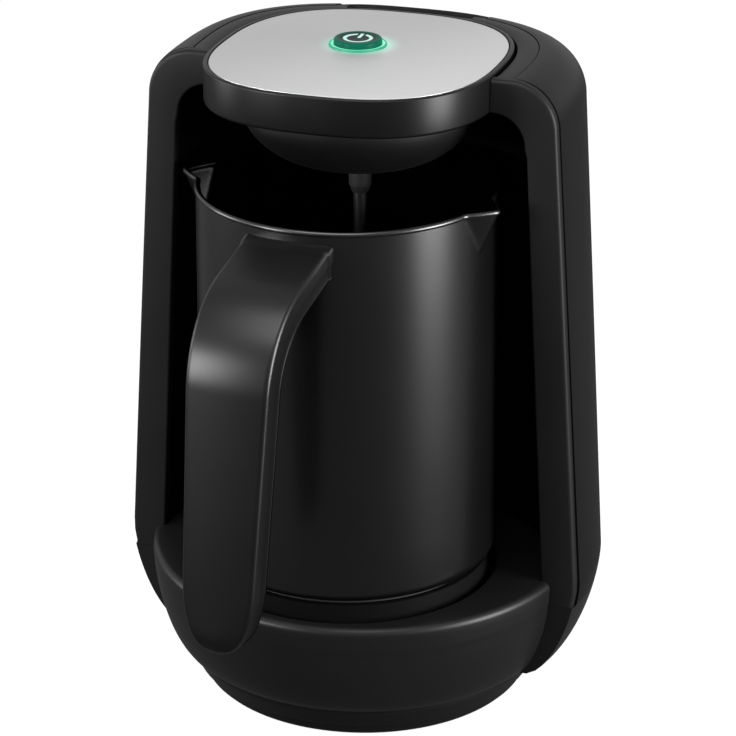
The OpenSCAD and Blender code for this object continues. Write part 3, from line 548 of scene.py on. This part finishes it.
# ---------------------------------------------------------------- the body
def make_cover():
    """The outer cover: sides and rounded shoulders, with a notch for the hinge."""
    bm = bmesh.new()
    lows = [mix(SEAM_Z + SEAM_GAP, BELLY_Z, i / 6) for i in range(7)]
    sides = [mix(BELLY_Z, SHOULDER_Z, i / 24) for i in range(1, 24)]
    tops = [mix(SHOULDER_Z, DECK_Z, math.sin(math.pi / 2 * i / 24)) for i in range(25)]
    rings = [body_ring(z) for z in lows + sides + tops]
    skin(bm, rings)
    slice_off(bm, (0, FACE_BACK, 0), (0, -1, 0), close=False)

    def near_hinge(p):
        return abs(p[0]) < NOTCH_HALF + 12 and p[1] > 30 and p[2] > NOTCH_Z

    score(bm, (NOTCH_HALF, 0, 0), (1, 0, 0), near_hinge)
    score(bm, (-NOTCH_HALF, 0, 0), (1, 0, 0), near_hinge)
    score(bm, (0, NOTCH_BACK, 0), (0, 1, 0), near_hinge)
    gone = [f for f in bm.faces if near_hinge(c := to_body(f.calc_center_median()))
            and abs(c[0]) < NOTCH_HALF and c[1] < NOTCH_BACK]
    bmesh.ops.delete(bm, geom=gone, context="FACES")
    finished(bm, "cover", "base", "shell_gloss", "outer_shell", WALL)


def face_paths(steps=46):
    """The inner and outer outline of one side of the front face, from the seam to the head."""
    z0 = SEAM_Z + SEAM_GAP
    zc = BAY_TOP_Z - BAY_CORNER             # the centre of the bay's upper corner
    xc = bay_half(BAY_TOP_Z) - BAY_CORNER
    inner, outer = [], []
    for i in range(steps + 1):
        way = (i / steps) ** 0.9            # a little wider apart near the seam
        z = mix(z0, zc, way)
        inner.append((bay_half(z) if z < zc else xc + BAY_CORNER, z))
        z = mix(z0, SHOULDER_Z, way)
        outer.append((section_x(z) - SEAM_GAP, z))
    for i in range(1, 15):
        t = math.pi / 2 * i / 14
        inner.append((xc + BAY_CORNER * math.cos(t), zc + BAY_CORNER * math.sin(t)))
        z = mix(SHOULDER_Z, DECK_Z - 0.02, math.sin(t))
        outer.append((section_x(z) - SEAM_GAP, z))
    end = HEAD_HOLE[0] - 1
    inner.append((end, BAY_TOP_Z))
    outer.append((end, DECK_Z))
    return inner, outer


def face_ring(inner, outer, soft_in=0.7, soft_out=1.3):
    """A cross-section of the front face between its two outlines, rounded in front."""
    (xi, zi), (xo, zo) = inner, outer
    length = math.hypot(xo - xi, zo - zi)

    def at(along, y):
        t = along / length
        return (mix(xi, xo, t), y, mix(zi, zo, t))

    points = [at(0, FACE_BACK)]
    for i in range(6):
        a = math.pi / 2 * i / 5
        points.append(at(soft_in * (1 - math.cos(a)), FACE_Y + soft_in * (1 - math.sin(a))))
    for i in range(6):
        a = math.pi / 2 * i / 5
        points.append(at(length - soft_out * (1 - math.sin(a)), FACE_Y + soft_out * (1 - math.cos(a))))
    points.append(at(length, FACE_BACK))
    return points


def deck_half(side):
    """One half of the deck round the head, cut off where the hinge's knuckle turns."""
    bm = bmesh.new()
    rings = [squircle(*HEAD_HOLE, TOP_N, COLLAR_Z, HEAD_Y)]
    rings += [squircle(HEAD_HOLE[0] + d, HEAD_HOLE[1] + d, TOP_N, DECK_Z - drop, HEAD_Y)
              for d, drop in ((0, 0.5), (0.15, 0.15), (0.5, 0))]
    rings += [squircle(DECK[0] - SEAM_GAP - d, DECK[1] - SEAM_GAP - d, TOP_N, DECK_Z - drop)
              for d, drop in ((0.5, 0), (0.15, 0.15), (0, 0.5), (0, DECK_Z - COLLAR_Z))]
    skin(bm, rings + rings[:1], closed=True)
    slice_off(bm, (0, FACE_BACK, 0), (0, -1, 0))
    slice_off(bm, (side * EAR_IN, 0, 0), (-side, 0, 0))
    return bm


def make_front_frame():
    """The front face round the bay, the deck round the head, and the hinge's ears."""
    bm = bmesh.new()
    inner, outer = face_paths()
    for side in (1, -1):
        rings = [[(side * x, y, z) for x, y, z in face_ring(i, o)] for i, o in zip(inner, outer)]
        skin(bm, rings, caps=True)
    for side in (1, -1):
        joined(bm, deck_half(side))
    bar = HINGE_Z - KNUCKLE_R - 0.5
    ears = bmesh.new()
    for side in (1, -1):
        low, high = sorted((side * EAR_IN, side * EAR_OUT))
        block(ears, (low, HINGE_Y - 4.2, bar - 2.2), (high, HINGE_Y + 4.2, DECK_Z - 0.05), 0.3)
    slice_off(ears, (0, HINGE_Y - 1.5, DECK_Z - 0.2), (0, 0.32, 0.95))
    joined(bm, ears)
    block(bm, (-EAR_OUT, HINGE_Y - 4.1, bar - 2.1), (EAR_OUT, HINGE_Y + 4.1, bar - 0.1), 0.2)
    finished(bm, "front_face", "base", "frame_satin", "front_frame")


def settled(ring, drop=0.0):
    """A ring of the bay's ceiling, lower behind the head than in front."""
    return [(x, y, z - drop - (BAY_TOP_Z - BAND_Z + 1.2) * ease((y - 14) / 16)) for x, y, z in ring]


def make_liner():
    """The lining of the bay, its ceiling, and the collar round the head."""
    bm = bmesh.new()
    heights = [mix(SEAM_Z, BAY_TOP_Z, i / 12) for i in range(13)]
    rings = [bay_ring(z) for z in heights] + [bay_ring(z, 2) for z in reversed(heights)]
    skin(bm, rings + rings[:1], closed=True)

    def hole_ring(gap, z):
        return squircle(HEAD_HOLE[0] + gap, HEAD_HOLE[1] + gap, TOP_N, z, HEAD_Y)

    ceiling = bay_ring(BAY_TOP_Z, 1)
    rings = [settled(ceiling), settled(ceiling, -1.5), hole_ring(1.5, BAY_TOP_Z + 1.5),
             hole_ring(1.5, COLLAR_Z), hole_ring(0.1, COLLAR_Z), settled(hole_ring(0.1, BAY_TOP_Z))]
    skin(bm, rings + rings[:1], closed=True)
    slice_off(bm, (0, FACE_BACK, 0), (0, -1, 0))
    finished(bm, "bay_lining", "base", "liner_matte", "bay_liner")


def base_angles():
    """Angles round the bowl, with a pair that hugs each end of the front face's plane."""
    edge = math.asin((FACE_Y - 0.3) / BOWL_R)
    ends = [edge % (2 * math.pi), (math.pi - edge) % (2 * math.pi)]
    every = turns(COUNT) + [e + s * 0.0008 for e in ends for s in (-1, 1)]
    return sorted(a % (2 * math.pi) for a in every)


def bay_reach(t, z, limit):
    """How far the bowl may reach at an angle before it meets the bay's wall."""
    half = bay_half(z) - 0.4
    low, high = 0.0, limit
    for _ in range(30):
        mid = (low + high) / 2
        across = (mid * abs(math.cos(t)) / half) ** BAY_N
        along = (abs(mid * math.sin(t) - FACE_Y) / (BAY_DEEP - 0.4)) ** BAY_N
        low, high = (mid, high) if across + along < 1 else (low, mid)
    return low


def bowl_ring(r, z):
    """A ring of the bowl: round in front, and inside the body behind the front face."""
    points = []
    for t in base_angles():
        reach = r
        if BOWL_R * math.sin(t) > FACE_Y - 0.3:
            reach = r - 2.0
            if z > SEAM_Z - 0.2:
                reach = bay_reach(t, z, reach)
        points.append((reach * math.cos(t), reach * math.sin(t), z))
    return points


def well_ring(r, z):
    """A round ring of the pot's well."""
    return [(r * math.cos(t), POT_Y + r * math.sin(t), z) for t in base_angles()]


def make_base():
    """The round bowl with the pot's well, and the body's lower part behind it."""
    bm = bmesh.new()
    top = BOWL_Z - BOWL_SOFT

    def bowl_r(z):
        return mix(GROOVE_R, BOWL_R, bulge((top - z) / (top - GROOVE_Z), BOWL_ROUND))

    levels = [mix(GROOVE_Z, top, i / 20) for i in range(21)]
    rings = [bowl_ring(GROOVE_R - 3, GROOVE_Z), bowl_ring(GROOVE_R - 0.5, GROOVE_Z)]
    rings += [bowl_ring(bowl_r(z), z) for z in levels if z < SEAM_Z - 0.3]
    rings += [bowl_ring(bowl_r(SEAM_Z), SEAM_Z - 0.21)]
    rings += [bowl_ring(bowl_r(z), z) for z in levels if z > SEAM_Z]
    rings += [bowl_ring(r, z) for r, z in arc(BOWL_R - BOWL_SOFT, top, BOWL_SOFT, 15, 90)]
    rings += [well_ring(r, z) for r, z in arc(WELL_R + 0.8, BOWL_Z - 0.8, 0.8, 90, 180, 4)]
    rings += [well_ring(WELL_R, WELL_Z + 0.5), well_ring(WELL_R - 0.5, WELL_Z)]
    rings += [well_ring(CONNECTOR_R, WELL_Z), well_ring(CONNECTOR_R, WELL_Z - WALL)]
    rings += [well_ring(40, WELL_Z - WALL), rings[0]]
    skin(bm, rings, closed=True)
    behind = bmesh.new()                    # a hoop behind the front face, up to the seam
    rings = [body_ring(GROOVE_Z, 7)] + [body_ring(mix(GROOVE_Z, SEAM_Z, i / 16)) for i in range(17)]
    rings += [body_ring(SEAM_Z, 7), rings[0]]
    skin(behind, rings, closed=True)
    slice_off(behind, (0, FACE_Y, 0), (0, -1, 0))
    joined(bm, behind)
    finished(bm, "base_bowl", "base", "base_gloss", "base_housing")


# ---------------------------------------------------------------- the head
def make_band():
    """The head's band with the seat for its plate, and the hinge's knuckle."""
    bm = bmesh.new()

    def ring(inset, z):
        return squircle(BAND[0] - inset, BAND[1] - inset, TOP_N, z, HEAD_Y)

    wire_hole = circle(WIRE_R, BAND_Z, 0, HEAD_Y)
    rings = [wire_hole, ring(12, BAND_Z), ring(1.6, BAND_Z)]
    rings += [ring(-r, z) for r, z in arc(-1.1, BAND_Z + 1.1, 1.1, -75, 0, 5)]
    rings += [ring(0, BAND_Z + 5)] + [ring(-r, z) for r, z in arc(-0.6, TOP_Z - 0.6, 0.6, 0, 90, 5)]
    seat = TOP_Z - PLATE_T
    rings += [ring(1.1, TOP_Z), ring(1.3, TOP_Z - 0.2), ring(1.3, seat), ring(3.6, seat)]
    rings += [ring(3.6, BAND_Z + WALL), circle(WIRE_R, BAND_Z + WALL, 0, HEAD_Y), wire_hole]
    skin(bm, rings, closed=True)
    rod_across(bm, HINGE_Y, HINGE_Z, KNUCKLE_R, KNUCKLE_HALF, 0.3)
    block(bm, (-KNUCKLE_HALF, 39.5, HINGE_Z - KNUCKLE_R), (KNUCKLE_HALF, HINGE_Y, HINGE_Z + KNUCKLE_R), 0.3)
    finished(bm, "head_band", "head", "band_gloss", "lid_shell")


def make_plate():
    """The metal plate with a polished edge and the button's hole."""
    bm = bmesh.new()
    low = TOP_Z - PLATE_T

    def ring(inset, z):
        return squircle(PLATE[0] - inset, PLATE[1] - inset, TOP_N, z, HEAD_Y)

    def hole(r, z):
        return circle(r, z, *BUTTON)

    rings = [ring(0, low), ring(0, TOP_Z - 0.35), ring(0.1, TOP_Z - 0.12), ring(0.35, TOP_Z)]
    rings += [ring(6, TOP_Z), hole(RING_OUT + 4, TOP_Z), hole(RING_OUT + 0.15, TOP_Z)]
    rings += [hole(RING_OUT, TOP_Z - 0.15), hole(RING_OUT, low), rings[0]]
    skin(bm, rings, closed=True)
    finished(bm, "head_plate", "head", "plate_metal", "top_plate")


def make_dome():
    """The hollow dome under the head, with the sensor's hole."""
    bm = bmesh.new()

    def side(inset, steps):
        made = []
        for i in range(steps + 1):
            a = math.pi / 2 * i / steps
            made.append((mix(DOME_FLAT_R, DOME_R, math.cos(a)) - inset * math.cos(a),
                         DOME_TOP_Z - (DOME_TOP_Z - DOME_LOW_Z - inset) * math.sin(a)))
        return made

    profile = [(NECK_OUT, BAND_Z), (NECK_OUT, DOME_TOP_Z + 0.2), (DOME_R - 0.3, DOME_TOP_Z + 0.1)]
    profile += side(0, 40) + [(SLEEVE_HOLE_R, DOME_LOW_Z), (SLEEVE_HOLE_R, DOME_LOW_Z + DOME_WALL)]
    profile += side(DOME_WALL, 24)[::-1] + [(NECK_IN, DOME_TOP_Z), (NECK_IN, BAND_Z), (NECK_OUT, BAND_Z)]
    skin(bm, [circle(r, z, 0, HEAD_Y, 144) for r, z in profile], closed=True)
    finished(bm, "head_dome", "head", "dome_satin", "lid_dome")


def make_button():
    """The button's cap, dished on top, with its stem."""
    bm = bmesh.new()
    profile = [(STEM_R, STEM_Z), (STEM_R, CAP_Z), (BUTTON_R - 0.2, CAP_Z), (BUTTON_R, CAP_Z + 0.2)]
    profile += arc(BUTTON_R - 0.7, BUTTON_TOP - 0.7, 0.7, 0, 90, 8)
    profile += [(BUTTON_R * t, BUTTON_TOP - 0.35 * (1 - (t / 0.9) ** 2))
                for t in (0.85, 0.7, 0.5, 0.3, 0.1)]
    skin(bm, [circle(r, z, *BUTTON, 96) for r, z in profile], caps=True)
    finished(bm, "button", "button", "button_cap", "power_button")


# ---------------------------------------------------------------- the pot
def from_pot(x, y, z):
    """A point given from the turned pot's axis, in the body's frame."""
    c, s = math.cos(POT_TURN), math.sin(POT_TURN)
    return (x * c - y * s, POT_Y + x * s + y * c, z)


def pot_ring(r, z, extra=0.0):
    """A ring of the pot's wall, drawn out to a pointed spout on each side near the rim."""
    rise = max(0.0, min(1.0, (z + extra - (POT_TOP_Z - SPOUT_H)) / SPOUT_H))
    points = []
    for t in turns(POT_COUNT):
        reach = 0.0
        for centre in (-SPOUT_LEAN, math.pi + SPOUT_LEAN):
            off = abs((t - centre + math.pi) % (2 * math.pi) - math.pi)
            reach = max(reach, rise - off / SPOUT_HALF)
        grown = r + SPOUT_REACH * max(0.0, reach)
        points.append(from_pot(grown * math.cos(t), grown * math.sin(t), z))
    return points


def wall_r(z):
    """The pot's outer radius at a height."""
    low = POT_LOW_Z + POT_ROUND
    return mix(POT_LOW_R, POT_TOP_R, (z - low) / (POT_TOP_Z - low))


def make_pot():
    """The pot: a thin round wall, a rolled rim and two pressed spouts."""
    bm = bmesh.new()
    within = bm.verts.layers.float.new("within")
    corner_r, corner_z = POT_LOW_R - POT_ROUND, POT_LOW_Z + POT_ROUND
    heights = [mix(corner_z, POT_TOP_Z - SPOUT_H, i / 8) for i in range(1, 9)]
    heights += [mix(POT_TOP_Z - SPOUT_H, POT_TOP_Z - RIM_R * 0.8, i / 20) for i in range(1, 21)]
    bead = arc(POT_TOP_R - RIM_R / 2, POT_TOP_Z, RIM_R, -40, 210, 12)
    outside = [pot_ring(POT_FLOOR_R, POT_LOW_Z)]
    outside += [pot_ring(r, z) for r, z in arc(corner_r, corner_z, POT_ROUND, -90, 0, 8)]
    outside += [pot_ring(wall_r(z), z) for z in heights] + [pot_ring(r, z, 1.0) for r, z in bead[:6]]
    inside = [pot_ring(r, z, 1.0) for r, z in bead[6:]]
    inside += [pot_ring(wall_r(z) - POT_WALL, z) for z in reversed(heights) if z < POT_TOP_Z - RIM_R]
    inside += [pot_ring(r, z) for r, z in arc(corner_r, corner_z, POT_ROUND - POT_WALL, 0, -90, 6)]
    inside += [pot_ring(POT_FLOOR_R, POT_LOW_Z + POT_WALL)]
    verts = skin(bm, outside + inside, caps=True)
    # The inside's points are marked for the painted shade of the pot's hollow.
    for vert in verts[len(outside) * POT_COUNT:]:
        vert[within] = 1.0
    finished(bm, "pot", "pot", "pot_gloss", "pot_body")


def strap_stations():
    """Points and outward directions along the handle's outer face, from the pot to its end."""
    stations = []
    out = (math.sin(SLOPE), math.cos(SLOPE))
    start = (BEND_D + BEND_R * out[0], BEND_Z + BEND_R * out[1])
    length = (start[0] - POT_TOP_R - 0.5) / math.cos(SLOPE)
    steps = [length, length - 0.5, length - 1.2, length - 1.7] + [length * (1 - i / 6) for i in range(1, 6)]
    for along in steps:
        stations.append((start[0] - along * math.cos(SLOPE), start[1] + along * math.sin(SLOPE), *out))
    for i in range(29):
        a = mix(math.pi / 2 - SLOPE, LEAN, i / 28)
        stations.append((BEND_D + BEND_R * math.cos(a), BEND_Z + BEND_R * math.sin(a), math.cos(a),
                         math.sin(a)))
    d, z, nx, nz = stations[-1]
    low = GRIP_LOW_Z + GRIP_ROUND
    drops = [mix(z, low, i / 10) for i in range(1, 11)]
    drops += [low - GRIP_ROUND * math.sin(math.pi / 2 * i / 12) * 0.995 for i in range(1, 13)]
    stations += [(d + (z - h) * math.tan(LEAN), h, nx, nz) for h in drops]
    return stations


def strap_profile(half, face, back, soft, crown):
    """A strap's outline as pairs of a place across and a depth, rounded at its face."""
    profile = [(-half, back)]
    for i in range(7):
        a = math.pi / 2 * i / 6
        profile.append((-half + soft * (1 - math.cos(a)), face + soft * (1 - math.sin(a)) + crown))
    for t in (-0.6, -0.3, 0.0, 0.3, 0.6):
        profile.append((t * (half - soft), face + crown * t ** 2))
    for i in range(7):
        a = math.pi / 2 * i / 6
        profile.append((half - soft * (1 - math.sin(a)), face + soft * (1 - math.cos(a)) + crown))
    return profile + [(half, back), (half * 0.4, back), (-half * 0.4, back)]


def strap_ring(station, number, face, back, soft, crown, inset):
    """A cross-section of the handle between two depths, fitted to the pot at its start."""
    d, z, nx, nz = station
    rise = (z - HANDLE_HALF_Z[0]) / (HANDLE_HALF_Z[1] - HANDLE_HALF_Z[0])
    half = mix(*HANDLE_HALF, max(0.0, rise)) - inset
    thin, low = 1.0, GRIP_LOW_Z + GRIP_ROUND
    if z < low:
        rounding = bulge((low - z) / GRIP_ROUND, GRIP_POWER)
        half = max(0.4, half * rounding)
        thin = mix(0.45, 1.0, ease(rounding * 1.3))
    if number < 3:
        half += HANDLE_LIP
    points = []
    for across, depth in strap_profile(half, face, back, min(soft, half * 0.8), crown):
        depth = mix(HANDLE_T * 0.45, depth, thin)
        pd, pz = d - nx * depth, z - nz * depth
        if number == 0:
            wall = math.sqrt((wall_r(pz) + 0.25) ** 2 - across ** 2)
            pz += (pd - wall) * math.tan(SLOPE)
            pd = wall
        points.append(from_pot(across, -pd, pz))
    return points


def make_handle():
    """The handle's outer shell and the liner that closes it underneath."""
    stations = list(enumerate(strap_stations()))
    for name, node, slot, *section in (
            ("handle_outer", "handle_shell", "handle_gloss", 0, HANDLE_SPLIT, 1.6, 0.5, 0),
            ("handle_inner", "handle_liner", "handle_satin", HANDLE_T, HANDLE_SPLIT + 0.15, -0.4, 0, 0.5)):
        bm = bmesh.new()
        skin(bm, [strap_ring(station, number, *section) for number, station in stations], caps=True)
        finished(bm, name, "pot", slot, node)


# ---------------------------------------------------------------- the studio
CAMERA_TURN, CAMERA_RISE, CAMERA_DISTANCE = math.radians(18.4), math.radians(22.8), 0.9
FOCAL_PIXELS, FRAME_PIXELS, SENSOR = 2871.8, 736, 36.0
AIM = Vector((0, FRAME_Y * MM + 0.0052, 0.0995))
AIM_RIGHT = -0.0007
WORLD_SHOWN, WORLD_GIVEN, WORLD_IN_GLOSS = 1.0, 0.5, 0.5
FLOOR_HALF, FLOOR_TONE = 3.0, (0.9, 0.9, 0.9)
FLOOR_GLOW, FLOOR_IN_GLOSS = 1.06, 0.16
FLOOR_SHOWN = 0.88        # the rest of the floor is lit, and takes the shadow
LAMP_AIM = (0, FRAME_Y * MM, 0.11)
LAMPS = {                 # place, width and height in metres, and power in watts
    "right box": ((0.67, -0.08, 0.2), (0.3, 0.42), 13),
    "left box": ((-0.62, -0.12, 0.25), (0.25, 0.38), 2.5),
    "front box": ((-0.50, -0.64, 0.33), (0.22, 0.32), 7),
    "top box": ((0.0, -0.25, 0.6), (0.4, 0.3), 2.5),
}


def add_camera():
    """The camera at the product's three-quarter view from above."""
    turn, rise = CAMERA_TURN, CAMERA_RISE
    back = Vector((math.sin(turn) * math.cos(rise), -math.cos(turn) * math.cos(rise), math.sin(rise)))
    right = Vector((math.cos(turn), math.sin(turn), 0))
    data = bpy.data.cameras.new("camera")
    data.sensor_width = SENSOR
    data.lens = FOCAL_PIXELS / FRAME_PIXELS * SENSOR
    data.clip_start = 0.05
    camera = placed("camera", data)
    place = AIM + right * AIM_RIGHT + back * CAMERA_DISTANCE
    axes = Matrix((right, back.cross(right), back)).transposed()
    camera.matrix_world = Matrix.Translation(place) @ axes.to_4x4()
    bpy.context.scene.camera = camera


def add_lamp(name, place, size, power):
    """A soft box that faces the object."""
    data = bpy.data.lights.new(name, "AREA")
    data.shape = "RECTANGLE"
    data.size, data.size_y = size
    data.energy = power
    lamp = placed(name, data)
    lamp.location = place
    lamp.rotation_euler = (Vector(LAMP_AIM) - Vector(place)).to_track_quat("-Z", "Y").to_euler()


def seen_directly(g, in_gloss):
    """1 for rays that show the background from the camera or through glass, and a share in a gloss."""
    camera, glossy, through = [g.node("LightPath", out=ray) for ray in
                               ("Is Camera Ray", "Is Glossy Ray", "Is Transmission Ray")]
    return camera + glossy * in_gloss + through


def add_world():
    """A white background, and a dimmer one for the light that it gives."""
    world = bpy.data.worlds.new("world")
    bpy.context.scene.world = world
    world.use_nodes = True
    g = Graph(world.node_tree)
    white = g.tree.nodes["Background"]
    g.feed(white.inputs["Color"], (1, 1, 1))
    g.feed(white.inputs["Strength"], WORLD_SHOWN)
    given = g.node("Background", None, {"Color": (1, 1, 1), "Strength": WORLD_GIVEN})
    both = {0: seen_directly(g, WORLD_IN_GLOSS), 1: given, 2: Socket(g, white.outputs[0])}
    g.feed(g.tree.nodes["World Output"].inputs["Surface"], g.node("MixShader", None, both))


def floor_material():
    """White that shows as the background does, with a share that is lit and takes the shadow."""
    g = Finish("floor")
    g.set(Base_Color=FLOOR_TONE, Roughness=0.9, Specular_IOR_Level=0.0)
    glow = g.node("Emission", None, {"Color": seen_directly(g, FLOOR_IN_GLOSS), "Strength": FLOOR_GLOW})
    share = g.node("LightPath", out="Is Glossy Ray") * (1 - FLOOR_SHOWN) + FLOOR_SHOWN
    both = {0: share, 1: Socket(g, g.shader.outputs[0]), 2: glow}
    g.feed(g.tree.nodes["Material Output"].inputs["Surface"], g.node("MixShader", None, both))
    return g.material


def add_floor():
    """A plain white floor that keeps the object's soft shadow."""
    bm = bmesh.new()
    bmesh.ops.create_grid(bm, x_segments=1, y_segments=1, size=FLOOR_HALF)
    mesh = bpy.data.meshes.new("floor")
    bm.to_mesh(mesh)
    bm.free()
    mesh.materials.append(floor_material())
    placed("floor", mesh)


def add_studio():
    """The camera, the background, the floor and the lamps."""
    add_camera()
    add_world()
    add_floor()
    for name, values in LAMPS.items():
        add_lamp(name, *values)
    bpy.context.scene.view_settings.view_transform = "Standard"


finish_construction()
make_cover()
make_front_frame()
make_liner()
make_base()
make_band()
make_plate()
make_dome()
make_button()
make_pot()
make_handle()
add_studio()
